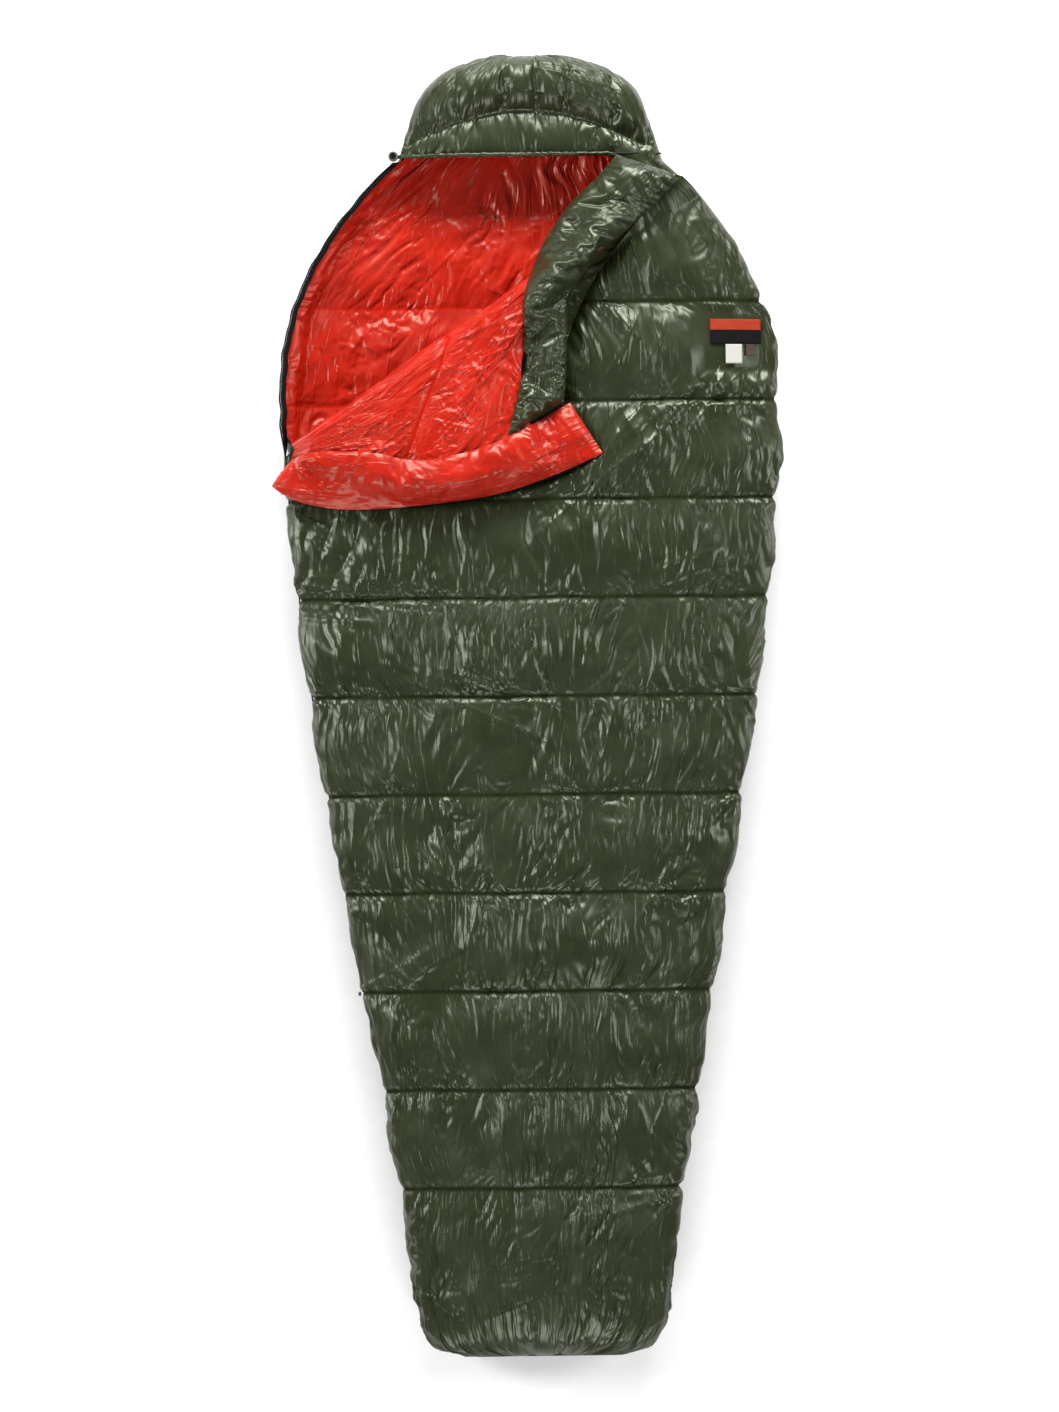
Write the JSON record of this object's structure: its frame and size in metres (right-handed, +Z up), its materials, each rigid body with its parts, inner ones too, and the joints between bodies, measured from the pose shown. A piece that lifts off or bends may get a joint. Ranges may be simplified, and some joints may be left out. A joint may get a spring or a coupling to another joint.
{
  "type": "mummy sleeping bag",
  "caption": "Down mummy sleeping bag with a side zip, its upper corner folded back over the quilted shell to show the lining, a hood with a drawcord, a neck collar and a draft tube.",
  "frame": {"origin": "On the floor under the middle of the bag, at half its length and on its centre line.", "axes": "+Y runs from the foot to the head, +X to the sleeper's left (away from the zip), +Z up from the floor."},
  "size_m": [0.8139, 2.1, 0.2073],
  "materials": {
    "shell_nylon": "glossy olive ripstop nylon",
    "lining_nylon": "glossy red nylon",
    "filling": "loose down",
    "zip_black": "black zip tape, coil and slider",
    "cord_black": "round braided cord",
    "lock_plastic": "grey moulded plastic",
    "steel": "plain steel",
    "patch_black": "woven patch with one plain stripe",
    "tag_white": "plain white woven tag",
    "tag_dark": "plain dark woven tag"
  },
  "bodies": {
    "bag": {"bottom_shell": "shell_nylon", "bottom_lining": "lining_nylon", "bottom_baffles": "lining_nylon", "top_shell": "shell_nylon", "top_lining": "lining_nylon", "top_baffles": "lining_nylon", "bottom_fill_1": "filling", "bottom_fill_2": "filling", "bottom_fill_3": "filling", "bottom_fill_4": "filling", "bottom_fill_5": "filling", "bottom_fill_6": "filling", "bottom_fill_7": "filling", "bottom_fill_8": "filling", "bottom_fill_9": "filling", "bottom_fill_10": "filling", "bottom_fill_11": "filling", "bottom_fill_12": "filling", "top_fill_1": "filling", "top_fill_2": "filling", "top_fill_3": "filling", "top_fill_4": "filling", "top_fill_5": "filling", "top_fill_6": "filling", "top_fill_7": "filling", "top_fill_8": "filling", "top_fill_9": "filling", "top_fill_10": "filling", "top_fill_11": "filling", "hood_shell": "shell_nylon", "hood_lining": "lining_nylon", "hood_roll_fill": "filling", "hood_band_fill": "filling", "hood_hem": "shell_nylon", "hood_drawcord": "cord_black", "zip_tape_bottom": "zip_black", "zip_coil_bottom": "zip_black", "zip_tape_top": "zip_black", "zip_coil_top": "zip_black", "zip_end_stop": "steel", "cord_lock_body": "lock_plastic", "cord_lock_spring": "steel", "label_patch": "patch_black"},
    "flap": {"flap_shell": "shell_nylon", "flap_lining": "lining_nylon", "flap_baffles": "lining_nylon", "flap_fill_1": "filling", "flap_fill_2": "filling", "flap_fill_3": "filling", "collar_shell": "shell_nylon", "collar_fill": "filling", "draft_tube_shell": "lining_nylon", "draft_tube_fill": "filling", "zip_tape_flap": "zip_black", "zip_coil_flap": "zip_black"},
    "slider": {"slider_body": "zip_black"},
    "pull": {"slider_pull": "zip_black"},
    "lock_button": {"cord_lock_button": "zip_black"},
    "large_tag": {"large_tag": "tag_white"},
    "small_tag": {"small_tag": "tag_dark"}
  },
  "joints": [
    {"name": "flap_fold", "type": "hinge", "parent": "bag", "child": "flap", "pos_m": [-0.402, 0.403, 0.1382], "axis": [-0.8219, -0.5697, 0], "range_deg": [0, 180]},
    {"name": "slider_run", "type": "slide", "parent": "bag", "child": "slider", "axis": [0.0949, -0.9955, 0], "range_m": [0, 0.28]},
    {"name": "pull_swing", "type": "hinge", "parent": "slider", "child": "pull", "pos_m": [-0.40996, 0.37651, 0.084], "axis": [0, 0, -1], "range_deg": [0, 170]},
    {"name": "lock_press", "type": "slide", "parent": "bag", "child": "lock_button", "axis": [0, 0, -1], "range_m": [0, 0.003], "stiffness_N_per_m": 800, "deforming": ["cord_lock_spring"]},
    {"name": "large_tag_lift", "type": "hinge", "parent": "bag", "child": "large_tag", "pos_m": [0.32465, 0.57922, 0.12552], "axis": [-0.9758, 0, 0.2185], "range_deg": [0, 120]},
    {"name": "small_tag_lift", "type": "hinge", "parent": "bag", "child": "small_tag", "pos_m": [0.35115, 0.57922, 0.11635], "axis": [-0.942, 0, 0.3355], "range_deg": [0, 120]}
  ]
}
